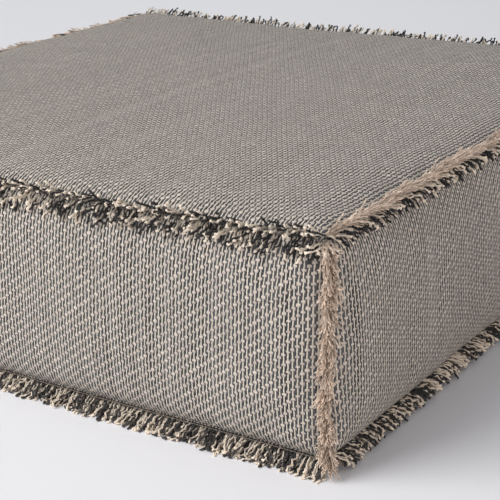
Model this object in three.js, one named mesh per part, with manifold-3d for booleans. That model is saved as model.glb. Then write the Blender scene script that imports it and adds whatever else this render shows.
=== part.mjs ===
// Square floor cushion: a boxed cover of woven cloth with its seam allowances turned outwards and
// frayed into fringes, closed by a zip across the back, over a foam pad wrapped in wadding and a liner.
//
// Millimetres, +Z up. The origin is on the floor under the middle of the cushion.
// The front is -Y, the right side is +X, and the zip is in the back, +Y.

import * as THREE from "three";
import { mergeVertices } from "three/addons/utils/BufferGeometryUtils.js";
import Module from "manifold-3d";

const wasm = await Module();
wasm.setup();

// ---- driving dimensions ----

const SIDE = 600; // the cover, from seam to seam
const SEAM_HEIGHT = 150; // from the bottom seams to the top seams
const SEAM_RISE = 10; // the bottom seams stand this far above the floor
const TOP_CROWN = 14; // how far the middle of the top stands above its seams
const CROWN_REACH = 170; // the crown is level this far in from the seams
const SIDE_BULGE = 6; // how far a side stands out between its seams
const END_ROLL = 55; // a side reaches its full bulge this far from a corner
const SEAM_ROLL = 45; // and this far from its top and bottom seams
const BASE_ROLL = 60; // the underside is flat this far in from the seams

const CLOTH = 2; // the woven cover cloth
const LINER = 0.8; // the thin cloth round the pad
const WADDING = 10; // the soft fibre layer between foam and liner
const GAP = 0.3; // left between pieces that touch

const FRINGE_LENGTH = 13; // frayed allowance, along its curve
const FRINGE_PLY = 1.5; // thickness of one frayed allowance at the seam
const FRINGE_TIP = 0.7; // and at its tip
const FRINGE_STOP = 6; // a fringe ends this far from a corner
const THREAD = 0.8; // the row of stitching in each seam

const ZIP_LENGTH = 440; // the chain of the zip
const ZIP_SLOT = 11; // the opening between the two back panels
const ZIP_TAPE = 0.8; // thickness of a zip tape
const ZIP_TAPE_WIDTH = 15;
const ZIP_TAPE_TAIL = 12; // a tape runs this far past the chain
const COIL_WIDTH = 2.6; // one side of the chain
const COIL_DEPTH = 2;
const COIL_APART = 1; // the slit between the two coils
const STOP_LENGTH = 3;
const SLIDER_LENGTH = 11;
const SLIDER_WIDTH = 8.6;
const SLIDER_PLATE = 1.3;
const SLIDER_WEB = 0.5; // the divider that runs in the slit of the chain
const BRIDGE_WIDTH = 3;
const BRIDGE_TUNNEL = 2.2; // height of the space under the bridge
const BRIDGE_BAR = 1;
const PULLER_LENGTH = 30;
const PULLER_WIDTH = 9;
const PULLER_THICKNESS = 1.2;

// ---- values that follow ----

const HALF = SIDE / 2;
const SEAM_LOW = SEAM_RISE;
const SEAM_TOP = SEAM_RISE + SEAM_HEIGHT;
const SEAM_MID = (SEAM_LOW + SEAM_TOP) / 2;
const BASE_DROP = SEAM_RISE - CLOTH;
const LINER_HALF = HALF - CLOTH - GAP;
const PAD_HALF = LINER_HALF - LINER - GAP;
const PAD_LOW = SEAM_LOW + GAP + LINER + GAP;
const PAD_TOP = SEAM_TOP - GAP - LINER - GAP;
const FOAM_HALF = PAD_HALF - WADDING;
const FOAM_LOW = PAD_LOW + WADDING;
const FOAM_TOP = PAD_TOP - WADDING;

// ---- finishes ----

const finish = (color, roughness, metalness = 0) =>
  new THREE.MeshStandardMaterial({ color, roughness, metalness });

const COVER = finish(0x96908a, 0.9);
const WARP_ENDS = finish(0x6a6560, 0.95);
const WEFT_ENDS = finish(0xb4a08c, 0.95);
const SEWING = finish(0xcfc4b4, 0.8);
const LINING = finish(0xe6e2da, 0.9);
const FIBRE = finish(0xf2f1ee, 0.95);
const FOAM = finish(0xe8dcb0, 0.95);
const TAPE = finish(0x4a4844, 0.9);
const COIL = finish(0x3c3a38, 0.5);
const METAL = finish(0x5c5a57, 0.35, 1);

// ---- shapes that the pieces share ----

function piece(name, geometry, material) {
  const mesh = new THREE.Mesh(geometry, material);
  mesh.name = name;
  return mesh;
}

// Rises from 0 at a seam to 1 at `reach` from it.
function roll(distance, reach) {
  const share = Math.min(Math.max(distance / reach, 0), 1);
  return Math.sin((share * Math.PI) / 2);
}

// How much of its full height a cushioned face has at (x, y), on a face of the given half sizes.
function puff(x, y, halfX, halfY, reachX, reachY) {
  return roll(halfX - Math.abs(x), reachX) * roll(halfY - Math.abs(y), reachY);
}

// Places from -half to half that lie closer together over the curved stretch at each end.
function stations(half, reach, steps) {
  const places = [];
  for (let i = 0; i < steps; i++) {
    places.push(-half + reach * (1 - Math.cos((i / steps) * (Math.PI / 2))));
  }
  places.push(reach - half);
  const mirrored = places.map((place) => -place).reverse();
  return reach < half ? [...places, ...mirrored] : [...places, ...mirrored.slice(1)];
}

// Keeps the places that lie between two ends, and adds the ends.
function between(places, first, last) {
  const inside = places.filter((place) => place > first + 0.5 && place < last - 0.5);
  return [first, ...inside, last];
}

// A closed slab over the grid xs by ys, from low(x, y) up to high(x, y).
function slab(xs, ys, low, high) {
  const across = ys.length;
  const layer = xs.length * across;
  const points = [];
  for (const height of [low, high]) {
    for (const x of xs) {
      for (const y of ys) {
        points.push(x, y, height(x, y));
      }
    }
  }
  const faces = [];
  const quad = (a, b, c, d) => faces.push(a, b, c, a, c, d);
  for (let i = 0; i < xs.length - 1; i++) {
    for (let j = 0; j < across - 1; j++) {
      const [a, b, c, d] = [0, across, across + 1, 1].map((step) => i * across + j + step);
      quad(a + layer, b + layer, c + layer, d + layer);
      quad(a, d, c, b);
    }
  }
  const rim = [];
  for (let i = 0; i < xs.length; i++) rim.push(i * across);
  for (let j = 1; j < across; j++) rim.push((xs.length - 1) * across + j);
  for (let i = xs.length - 2; i >= 0; i--) rim.push(i * across + across - 1);
  for (let j = across - 2; j > 0; j--) rim.push(j);
  rim.forEach((from, index) => {
    const to = rim[(index + 1) % rim.length];
    quad(from, to, to + layer, from + layer);
  });
  const geometry = new THREE.BufferGeometry();
  geometry.setAttribute("position", new THREE.Float32BufferAttribute(points, 3));
  geometry.setIndex(faces);
  geometry.computeVertexNormals();
  return geometry;
}

// A block from three pairs of limits.
function block([x0, x1], [y0, y1], [z0, z1]) {
  const geometry = new THREE.BoxGeometry(x1 - x0, y1 - y0, z1 - z0);
  return geometry.translate((x0 + x1) / 2, (y0 + y1) / 2, (z0 + z1) / 2);
}

function toSolid(geometry) {
  const bare = geometry.clone();
  bare.deleteAttribute("normal");
  bare.deleteAttribute("uv");
  const merged = mergeVertices(bare, 1e-4);
  const vertProperties = new Float32Array(merged.attributes.position.array);
  const triVerts = new Uint32Array(merged.index.array);
  return new wasm.Manifold(new wasm.Mesh({ numProp: 3, vertProperties, triVerts }));
}

function toGeometry(solid) {
  const mesh = solid.getMesh();
  const geometry = new THREE.BufferGeometry();
  geometry.setAttribute("position", new THREE.BufferAttribute(mesh.vertProperties, 3));
  geometry.setIndex(new THREE.BufferAttribute(mesh.triVerts, 1));
  geometry.computeVertexNormals();
  return geometry;
}

const cut = (geometry, tool) => toGeometry(toSolid(geometry).subtract(toSolid(tool)));

const join = (...geometries) =>
  toGeometry(geometries.map(toSolid).reduce((whole, next) => whole.add(next)));

// Turns a section drawn as (outward, up) into a bar that runs along a side of the cushion.
function alongSide(section, length, curveSegments = 1) {
  const options = { depth: length, bevelEnabled: false, curveSegments };
  const bar = new THREE.ExtrudeGeometry(section, options);
  const outward = new THREE.Vector3(0, -1, 0);
  const up = new THREE.Vector3(0, 0, 1);
  const along = new THREE.Vector3(-1, 0, 0);
  bar.applyMatrix4(new THREE.Matrix4().makeBasis(outward, up, along));
  return bar.translate(length / 2, -HALF, 0);
}

// The section of one frayed allowance: it leaves `root` at `angle` and turns by `bend` to its tip.
function fringeSection(root, angle, bend) {
  const steps = 5;
  const reach = FRINGE_LENGTH / steps;
  const upper = [];
  const lower = [];
  const centre = root.clone();
  for (let i = 0; i <= steps; i++) {
    const heading = THREE.MathUtils.degToRad(angle + (bend * i) / steps);
    const halfPly = THREE.MathUtils.lerp(FRINGE_PLY, FRINGE_TIP, i / steps) / 2;
    const across = new THREE.Vector2(-Math.sin(heading), Math.cos(heading)).multiplyScalar(halfPly);
    upper.push(centre.clone().add(across));
    lower.push(centre.clone().sub(across));
    centre.add(new THREE.Vector2(Math.cos(heading), Math.sin(heading)).multiplyScalar(reach));
  }
  return new THREE.Shape([...lower, ...upper.reverse()]);
}

// A square ring with rounded corners, such as the band of a layer round the pad.
function band(half, wall, corner, low, high) {
  const outer = roundedSquare(new THREE.Shape(), half, corner);
  outer.holes.push(roundedSquare(new THREE.Path(), half - wall, Math.max(corner - wall, 1)));
  const options = { depth: high - low, bevelEnabled: false, curveSegments: 3 };
  return new THREE.ExtrudeGeometry(outer, options).translate(0, 0, low);
}

function roundedSquare(path, half, corner) {
  const flat = half - corner;
  path.moveTo(flat, -half);
  path.absarc(flat, -flat, corner, -Math.PI / 2, 0);
  path.absarc(flat, flat, corner, 0, Math.PI / 2);
  path.absarc(-flat, flat, corner, Math.PI / 2, Math.PI);
  path.absarc(-flat, -flat, corner, Math.PI, Math.PI * 1.5);
  path.closePath();
  return path;
}

// ---- the heights of the top, the base and the sides ----

const crownAt = (x, y) => TOP_CROWN * puff(x, y, HALF, HALF, CROWN_REACH, CROWN_REACH);
const sinkAt = (x, y) => BASE_DROP * puff(x, y, HALF, HALF, BASE_ROLL, BASE_ROLL);
const bulgeAt = (x, up, endRoll) =>
  SIDE_BULGE * puff(x, up, HALF, SEAM_HEIGHT / 2, endRoll, SEAM_ROLL);

// ---- the cover: top and base ----

function levelSheet(half, reach, low, high) {
  const places = between(stations(HALF, reach, 5), -half, half);
  return slab(places, places, low, high);
}

function topPanel() {
  const low = (x, y) => SEAM_TOP + crownAt(x, y);
  const high = (x, y) => low(x, y) + CLOTH;
  return piece("top_panel", levelSheet(HALF, CROWN_REACH, low, high), COVER);
}

function bottomPanel() {
  const high = (x, y) => SEAM_LOW - sinkAt(x, y);
  const low = (x, y) => high(x, y) - CLOTH;
  return piece("bottom_panel", levelSheet(HALF, BASE_ROLL, low, high), COVER);
}

// ---- the cover: one side ----

// A side panel stands behind the end of the next one, so it starts a cloth's thickness in.
function sideSlab(lowEdge, highEdge, endRoll = END_ROLL) {
  const xs = between(stations(HALF, endRoll, 4), CLOTH + GAP - HALF, HALF);
  const ups = between(stations(SEAM_HEIGHT / 2, SEAM_ROLL, 4), lowEdge - SEAM_MID, highEdge - SEAM_MID);
  const outer = (x, up) => bulgeAt(x, up, endRoll);
  const inner = (x, up) => bulgeAt(x, up, endRoll) - CLOTH;
  const sheet = slab(xs, ups, inner, outer);
  return sheet.rotateX(Math.PI / 2).translate(0, -HALF, SEAM_MID);
}

function plainSide(side) {
  return [piece(`${side}_panel`, sideSlab(SEAM_LOW + GAP, SEAM_TOP - GAP), COVER)];
}

// The back is two panels, with a slot between them that shows the zip. They are level along its tapes.
function zippedSide(side) {
  const endRoll = Math.min(END_ROLL, HALF - ZIP_LENGTH / 2 - ZIP_TAPE_TAIL);
  const slotHalf = ZIP_LENGTH / 2 + STOP_LENGTH + GAP;
  const depth = [-HALF - SIDE_BULGE - CLOTH, -HALF + CLOTH * 2];
  const slot = block([-slotHalf, slotHalf], depth, [SEAM_MID - ZIP_SLOT / 2, SEAM_MID + ZIP_SLOT / 2]);
  const upper = cut(sideSlab(SEAM_MID + GAP / 2, SEAM_TOP - GAP, endRoll), slot);
  const lower = cut(sideSlab(SEAM_LOW + GAP, SEAM_MID - GAP / 2, endRoll), slot);
  return [piece(`${side}_panel_upper`, upper, COVER), piece(`${side}_panel_lower`, lower, COVER)];
}

// ---- seams: stitching and frayed allowances ----

function seamThread(name, height) {
  const centre = GAP + THREAD / 2;
  const length = SIDE - 2 * FRINGE_STOP;
  const across = [-HALF - centre - THREAD / 2, -HALF - centre + THREAD / 2];
  const up = [height - THREAD / 2, height + THREAD / 2];
  return piece(name, block([-length / 2, length / 2], across, up), SEWING);
}

const PLY_START = GAP + THREAD + GAP;
const PLY_LIFT = FRINGE_PLY / 2 + GAP / 2;

function levelFringe(name, height, above, angle, bend, material) {
  const root = new THREE.Vector2(PLY_START, height + (above ? PLY_LIFT : -PLY_LIFT));
  const bar = alongSide(fringeSection(root, angle, bend), SIDE - 2 * FRINGE_STOP);
  return piece(name, bar, material);
}

// Cloth cut across the warp frays into dark and pale warp ends, cloth cut along it into tan weft.
function levelSeams(side, facesWarp) {
  const levelEnds = facesWarp ? WARP_ENDS : WEFT_ENDS;
  return [
    seamThread(`seam_thread_top_${side}`, SEAM_TOP),
    levelFringe(`top_panel_${side}_fringe`, SEAM_TOP, true, 6, 14, levelEnds),
    levelFringe(`${side}_panel_top_fringe`, SEAM_TOP, false, -18, -44, WARP_ENDS),
    seamThread(`seam_thread_bottom_${side}`, SEAM_LOW),
    levelFringe(`${side}_panel_bottom_fringe`, SEAM_LOW, true, -8, -26, WARP_ENDS),
    levelFringe(`bottom_panel_${side}_fringe`, SEAM_LOW, false, -20, -28, levelEnds),
  ];
}

// The upright seam at the right-hand end of a side, where the next side begins.
function uprightSeam(side, next) {
  const seam = new THREE.Group();
  seam.position.set(HALF, -HALF, 0);
  seam.rotation.z = -Math.PI / 4;
  const low = SEAM_LOW + THREAD;
  const high = SEAM_TOP - THREAD;
  const threadBar = block([GAP, GAP + THREAD], [-THREAD / 2, THREAD / 2], [low, high]);
  seam.add(piece(`seam_thread_${side}_${next}`, threadBar, SEWING));
  const plies = [
    { name: `${side}_panel_${next}_fringe`, lift: -PLY_LIFT, angle: -8, bend: -34 },
    { name: `${next}_panel_${side}_fringe`, lift: PLY_LIFT, angle: 8, bend: 34 },
  ];
  for (const { name, lift, angle, bend } of plies) {
    const section = fringeSection(new THREE.Vector2(PLY_START, lift), angle, bend);
    const bar = new THREE.ExtrudeGeometry(section, { depth: high - low, bevelEnabled: false });
    seam.add(piece(name, bar.translate(0, 0, low), WEFT_ENDS));
  }
  return seam;
}

// ---- the zip, drawn as it lies in the back before that side is turned round ----

const TAPE_FRONT = HALF + SIDE_BULGE - CLOTH - GAP; // outer face of the tapes
const COIL_BACK = TAPE_FRONT + GAP;
const COIL_FRONT = COIL_BACK + COIL_DEPTH;
const PLATE_FRONT = COIL_FRONT + GAP + SLIDER_PLATE;
const SLIDER_REST = ZIP_LENGTH / 2 - SLIDER_LENGTH / 2; // middle of the slider when the zip is closed

// One woven tape lies behind each back panel and stops at the slit.
function zipTape(name, above) {
  const half = ZIP_LENGTH / 2 + ZIP_TAPE_TAIL;
  const near = COIL_APART / 2 + 0.1;
  const heights = above ? [near, ZIP_TAPE_WIDTH] : [-ZIP_TAPE_WIDTH, -near];
  const up = heights.map((height) => height + SEAM_MID);
  return piece(name, block([-half, half], [-TAPE_FRONT, ZIP_TAPE - TAPE_FRONT], up), TAPE);
}

// A coil is a rounded bar here, one on the edge of each tape.
function zipCoil(name, above) {
  const section = new THREE.Shape();
  const middle = (COIL_APART + COIL_WIDTH) / 2;
  const height = SEAM_MID + (above ? middle : -middle);
  const depth = (COIL_BACK + COIL_FRONT) / 2 - HALF;
  section.absellipse(depth, height, COIL_DEPTH / 2, COIL_WIDTH / 2, 0, Math.PI * 2);
  return piece(name, alongSide(section, ZIP_LENGTH, 5), COIL);
}

// A metal stop is clamped over both coils at each end of the chain.
function zipStop(name, direction) {
  const near = ZIP_LENGTH / 2 + GAP;
  const ends = [near, near + STOP_LENGTH - GAP].map((end) => end * direction);
  const reach = COIL_APART / 2 + COIL_WIDTH;
  const across = [-COIL_FRONT, -COIL_BACK];
  const up = [SEAM_MID - reach, SEAM_MID + reach];
  return piece(name, block(ends.sort((a, b) => a - b), across, up), METAL);
}

// Two plates either side of the chain, the web between them, and the bridge that holds the puller.
function zipSlider() {
  const along = [-SLIDER_LENGTH / 2, SLIDER_LENGTH / 2];
  const wide = [-SLIDER_WIDTH / 2, SLIDER_WIDTH / 2];
  const backFace = TAPE_FRONT - ZIP_TAPE - GAP;
  const plateBack = COIL_FRONT + GAP;
  const outerPlate = block(along, [-PLATE_FRONT, -plateBack], wide);
  const innerPlate = block(along, [-backFace, SLIDER_PLATE - backFace], wide);
  const webEnd = along[1] - SLIDER_LENGTH / 3;
  const webSpan = [-PLATE_FRONT + SLIDER_PLATE / 2, SLIDER_PLATE / 2 - backFace];
  const web = block([webEnd, along[1]], webSpan, [-SLIDER_WEB / 2, SLIDER_WEB / 2]);
  const foot = SLIDER_LENGTH / 2 - 1;
  const bridgeTop = PLATE_FRONT + BRIDGE_TUNNEL + BRIDGE_BAR;
  const narrow = [-BRIDGE_WIDTH / 2, BRIDGE_WIDTH / 2];
  const arch = block([-foot, foot], [-bridgeTop, -PLATE_FRONT + SLIDER_PLATE / 2], narrow);
  const tunnelSpan = [-PLATE_FRONT - BRIDGE_TUNNEL, -PLATE_FRONT];
  const tunnel = block([1 - foot, foot - 1], tunnelSpan, [-SLIDER_WIDTH, SLIDER_WIDTH]);
  const body = join(outerPlate, innerPlate, web, cut(arch, tunnel));
  const slider = piece("zip_slider", body, METAL);
  slider.position.set(SLIDER_REST, 0, SEAM_MID);
  return slider;
}

// A flat tab whose open end loops through the bridge and turns there.
function zipPuller() {
  const half = PULLER_WIDTH / 2;
  const pin = PULLER_THICKNESS / 2;
  const outline = new THREE.Shape();
  outline.moveTo(pin, -half);
  outline.lineTo(pin, half);
  outline.lineTo(-PULLER_LENGTH + half, half * 0.7);
  outline.absarc(-PULLER_LENGTH + half, 0, half * 0.7, Math.PI / 2, Math.PI * 1.5);
  outline.closePath();
  const eye = new THREE.Path();
  const eyeHalf = BRIDGE_WIDTH / 2 + GAP * 2;
  eye.moveTo(-pin, -eyeHalf);
  eye.lineTo(-pin, eyeHalf);
  eye.lineTo(-SLIDER_LENGTH / 2 - 1, eyeHalf);
  eye.lineTo(-SLIDER_LENGTH / 2 - 1, -eyeHalf);
  eye.closePath();
  outline.holes.push(eye);
  const tab = new THREE.ExtrudeGeometry(outline, {
    depth: PULLER_THICKNESS,
    bevelEnabled: false,
    curveSegments: 6,
  });
  tab.translate(0, 0, -pin).rotateX(Math.PI / 2);
  const puller = piece("zip_puller", tab, METAL);
  puller.position.set(SLIDER_REST, -PLATE_FRONT - BRIDGE_TUNNEL / 2, SEAM_MID);
  return puller;
}

function zip() {
  return [
    zipTape("zip_tape_upper", true),
    zipTape("zip_tape_lower", false),
    zipCoil("zip_coil_upper", true),
    zipCoil("zip_coil_lower", false),
    zipStop("zip_stop_closed_end", 1),
    zipStop("zip_stop_open_end", -1),
    zipSlider(),
    zipPuller(),
  ];
}

// ---- the pad inside ----

function liner() {
  const corner = LINER + 1;
  const above = (x, y) => SEAM_TOP - GAP + crownAt(x, y);
  const below = (x, y) => SEAM_LOW + GAP - sinkAt(x, y);
  const topSheet = levelSheet(LINER_HALF, CROWN_REACH, (x, y) => above(x, y) - LINER, above);
  const baseSheet = levelSheet(LINER_HALF, BASE_ROLL, below, (x, y) => below(x, y) + LINER);
  return [
    piece("liner_top", topSheet, LINING),
    piece("liner_bottom", baseSheet, LINING),
    piece("liner_band", band(LINER_HALF, LINER, corner, PAD_LOW, PAD_TOP), LINING),
  ];
}

function wadding() {
  const above = (x, y) => PAD_TOP + crownAt(x, y);
  const below = (x, y) => PAD_LOW - sinkAt(x, y);
  const topSheet = levelSheet(PAD_HALF, CROWN_REACH, () => FOAM_TOP + GAP, above);
  const baseSheet = levelSheet(PAD_HALF, BASE_ROLL, below, () => FOAM_LOW - GAP);
  const ring = band(PAD_HALF, WADDING - GAP, WADDING, FOAM_LOW, FOAM_TOP);
  return [
    piece("wadding_top", topSheet, FIBRE),
    piece("wadding_bottom", baseSheet, FIBRE),
    piece("wadding_band", ring, FIBRE),
  ];
}

function foamCore() {
  const options = { depth: FOAM_TOP - FOAM_LOW, bevelEnabled: false, curveSegments: 3 };
  const core = new THREE.ExtrudeGeometry(roundedSquare(new THREE.Shape(), FOAM_HALF, 1), options);
  return piece("foam_core", core.translate(0, 0, FOAM_LOW), FOAM);
}

// ---- the whole cushion ----

const SIDES = ["front", "right", "back", "left"];

const cushion = new THREE.Group();
cushion.add(topPanel(), bottomPanel(), foamCore(), ...wadding(), ...liner());

SIDES.forEach((side, turns) => {
  const next = SIDES[(turns + 1) % SIDES.length];
  const isBack = side === "back";
  const facesWarp = side === "front" || isBack;
  const group = new THREE.Group();
  group.rotation.z = (turns * Math.PI) / 2;
  group.add(...(isBack ? [...zippedSide(side), ...zip()] : plainSide(side)));
  group.add(...levelSeams(side, facesWarp), uprightSeam(side, next));
  cushion.add(group);
});

export default cushion;
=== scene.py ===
# %% [markdown]
# A square floor cushion. Its cover is seven cloths of a heavy two-colour weave, because a zip cuts
# the back in two. They are sewn wrong side to wrong side, so the seam allowances stand outside,
# where they are frayed into fringes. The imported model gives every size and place. Here the cover
# is puffed up as cloth, each fringe is laid from yarns, and the weave is a pattern of nodes.

# %% Load the frame
import math

import bmesh
import bpy
import numpy as np
from mathutils import Matrix, Vector


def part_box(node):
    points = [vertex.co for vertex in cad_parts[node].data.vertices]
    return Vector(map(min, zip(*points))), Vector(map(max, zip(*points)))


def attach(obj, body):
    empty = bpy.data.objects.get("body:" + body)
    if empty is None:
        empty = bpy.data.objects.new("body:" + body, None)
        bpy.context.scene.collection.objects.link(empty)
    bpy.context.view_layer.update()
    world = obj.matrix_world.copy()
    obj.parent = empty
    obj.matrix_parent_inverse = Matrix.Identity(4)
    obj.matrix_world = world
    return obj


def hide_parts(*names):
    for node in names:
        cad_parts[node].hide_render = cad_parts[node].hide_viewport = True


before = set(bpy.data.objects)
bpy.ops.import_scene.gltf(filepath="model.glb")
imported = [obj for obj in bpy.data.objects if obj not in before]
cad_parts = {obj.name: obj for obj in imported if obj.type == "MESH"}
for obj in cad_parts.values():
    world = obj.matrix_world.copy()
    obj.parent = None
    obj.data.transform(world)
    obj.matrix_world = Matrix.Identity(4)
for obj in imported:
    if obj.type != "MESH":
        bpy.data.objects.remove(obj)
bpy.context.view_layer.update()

MM = 0.001
SIDES = ["front", "right", "back", "left"]
ROOT = "cushion"

# %% [markdown]
# The driving sizes are read from the frame: half the cover's side, the heights of the two rings of
# seams, the cloth's thickness, and how far the top and the sides swell.

# %% Sizes of the cover
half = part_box("top_panel")[1].x
seam_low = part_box("bottom_panel")[1].z
seam_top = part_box("top_panel")[0].z
seam_mid = (seam_low + seam_top) / 2
rise = (seam_top - seam_low) / 2
bulge = -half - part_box("front_panel")[0].y
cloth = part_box("front_panel")[1].y + half
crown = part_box("top_panel")[1].z - seam_top - cloth
print(f"half {half:.3f}, seams {seam_low:.3f} and {seam_top:.3f}, cloth {cloth:.4f}")
print(f"side bulge {bulge:.4f}, crown {crown:.4f}")

# %% [markdown]
# The camera stands at the height of a low table, about a metre from the near corner, and looks
# down over it. Its three axes are written out, because a small roll is easier to give that way
# than as angles.

# %% Camera
EYE = Vector((0.7116, -0.9950, seam_low + 0.4246))
TURN, TILT, ROLL = -0.5927, 0.3336, -0.0269
LENS = 100.7

flat_part = math.cos(TILT)
ahead = Vector((math.sin(TURN) * flat_part, math.cos(TURN) * flat_part, -math.sin(TILT)))
level = Vector((math.cos(TURN), -math.sin(TURN), 0))
down = ahead.cross(level)
right = level * math.cos(ROLL) - down * math.sin(ROLL)
up = -(level * math.sin(ROLL) + down * math.cos(ROLL))

camera = bpy.data.objects.new("camera", bpy.data.cameras.new("camera"))
bpy.context.collection.objects.link(camera)
camera.matrix_world = Matrix.Translation(EYE) @ Matrix((right, up, -ahead)).transposed().to_4x4()
camera.data.sensor_width = 36
camera.data.lens = LENS
bpy.context.scene.camera = camera
print("camera at", tuple(round(value, 3) for value in EYE), "with a lens of", LENS, "mm")

# %% [markdown]
# Seams never run straight. Between two corners a level seam sags a little and is drawn in, and it
# wanders by a millimetre or so. One function gives a point of any seam. The cloths, the fringes
# and the stitches all use it, so they stay together.

# %% Where the seams run
SAG = {"front": 3.4 * MM, "right": 0.6 * MM, "back": 2.0 * MM, "left": 2.2 * MM}
PULL = {"front": 0.4 * MM, "right": 3.6 * MM, "back": 1.0 * MM, "left": 1.6 * MM}
WANDER = 0.9 * MM
WAVES = ((310 * MM, 0.5), (130 * MM, 0.3), (55 * MM, 0.2))
STEADY_END = 40 * MM
CORNER_BOW, CORNER_WANDER = -1.2 * MM, 0.8 * MM


def wander(place, seed):
    """A smooth, seeded wobble between about -1 and 1 along a seam."""
    rng = np.random.default_rng(seed)
    total = np.zeros_like(np.asarray(place, dtype=float))
    for length, share in WAVES:
        total = total + share * np.sin(2 * np.pi * (place / length + rng.random()))
    return total


def side_axes(side):
    """Unit vectors along a side, seen from outside to the right, and outward."""
    turn = SIDES.index(side) * math.pi / 2
    along = np.array([math.cos(turn), math.sin(turn), 0])
    outward = np.array([math.sin(turn), -math.cos(turn), 0])
    return along.round(9), outward.round(9)


def level_drift(side, height, along):
    """How far a level seam has moved outward and up at a place along its side."""
    seed = 10 * SIDES.index(side) + (1 if height > seam_mid else 0)
    slack = np.cos(np.clip(along / half, -1, 1) * np.pi / 2)
    ends = np.clip((half - np.abs(along)) / STEADY_END, 0, 1)
    outward = -PULL[side] * slack + WANDER * ends * wander(along, 100 + seed)
    if height > seam_mid:
        upward = -SAG[side] * slack + WANDER * ends * wander(along, 200 + seed)
    else:
        upward = 0.5 * WANDER * ends * wander(along, 300 + seed)
    return outward, upward


def upright_drift(corner, height):
    """How far the upright seam at a side's right-hand end has moved along its diagonal."""
    share = np.clip((height - seam_low) / (seam_top - seam_low), 0, 1)
    bow = np.sin(share * np.pi)
    return bow * (CORNER_BOW + CORNER_WANDER * wander(height, 400 + corner))


for name in SIDES:
    print(name, "seam sags", SAG[name], "and is drawn in", PULL[name])

# %% [markdown]
# A cushion's cover is a box of cloth that its pad pushes out. Close to a seam the cloth turns away
# steeply, and further in it is almost flat. The form is two swells added together: a tight one
# beside the seams and a long, low one over the whole face.

# %% The form of a puffed face
TIGHT_REACH = 26 * MM
LONG_REACH = 170 * MM
SIDE_REACH = 55 * MM
BOTTOM_REACH = 60 * MM
TIGHT_SHARE, TIGHT_MOST = 0.75, 8.5 * MM
EXTRA_SWELL = {"front": 4.5 * MM, "right": 4.5 * MM, "back": 0, "left": 3 * MM}


def tight(distance, reach):
    """A quarter of an ellipse: it leaves the seam upright and is level from reach on."""
    share = np.clip(1 - distance / reach, 0, 1)
    return np.sqrt(1 - share**2)


def soft(distance, reach):
    """A quarter of a sine wave from the seam to reach."""
    return np.sin(np.clip(distance / reach, 0, 1) * np.pi / 2)


def swell(across, upward, width, height, full, long_reach):
    """Height of a puffed face of the given half sizes at a place on it."""
    side = width - np.abs(across)
    end = height - np.abs(upward)
    near = tight(side, TIGHT_REACH) * tight(end, TIGHT_REACH)
    far = soft(side, long_reach) * soft(end, long_reach)
    edge = min(TIGHT_SHARE * full, TIGHT_MOST)
    return edge * near + (full - edge) * far


top_middle = float(swell(0, 0, half, half, crown, LONG_REACH))
print("top middle stands", round(top_middle / MM, 2), "mm up")

# %% [markdown]
# The cover is cut as a box of six grids whose edges share their points, so it is one closed cloth
# while it is puffed up. Each face keeps a record of where its points lie on the flat cloth. That
# later becomes the UV map that the weave follows.

# %% The six faces as grids
CELLS_LONG = 76
CELLS_HIGH = 20


def face_grid(face):
    """Flat places (across, up) of a face's points, their positions, and the outward axis."""
    wide = np.linspace(-half, half, CELLS_LONG + 1)
    if face in ("top", "bottom"):
        across, upward = np.meshgrid(wide, wide, indexing="ij")
        z = seam_top if face == "top" else seam_low
        points = np.stack([across, upward, np.full_like(across, z)], axis=-1)
        return across, upward, points, np.array([0, 0, 1 if face == "top" else -1])
    along, outward = side_axes(face)
    across, upward = np.meshgrid(wide, np.linspace(-rise, rise, CELLS_HIGH + 1), indexing="ij")
    points = across[..., None] * along + half * outward
    points[..., 2] = upward + seam_mid
    return across, upward, points, outward


def grid_quads(rows, columns, flip):
    """Corner numbers of the quads of a grid of points, turned over for a face that looks down."""
    number = np.arange(rows * columns).reshape(rows, columns)
    corners = [number[:-1, :-1], number[1:, :-1], number[1:, 1:], number[:-1, 1:]]
    if flip:
        corners.reverse()
    return np.stack([corner.ravel() for corner in corners], axis=-1)


FACES = ["top", "bottom", *SIDES]
grids = {face: face_grid(face) for face in FACES}
quads = {face: grid_quads(*grids[face][0].shape, face == "bottom") for face in FACES}
print({face: len(quads[face]) for face in FACES})

# %% [markdown]
# Padded cloth is best made by simulation. The cover is a little larger than the box that its seams
# hold, so under pressure it puckers beside them. The seams are pinned. The simulation gives only
# the small creases. The long shape of each face comes from the form above, because foam holds it
# flat.

# %% Puff the cover up
PRESSURE = 4
GROWTH = -0.012
FRAMES = 20


def cover_points():
    """All the points of the cover once, and for each face the numbers of its points."""
    every = np.concatenate([grids[face][2].reshape(-1, 3) for face in FACES])
    once, number = np.unique(every.round(7), axis=0, return_inverse=True)
    number = number.ravel()
    sizes = np.cumsum([grids[face][0].size for face in FACES])[:-1]
    return once, dict(zip(FACES, np.split(number, sizes)))


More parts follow.
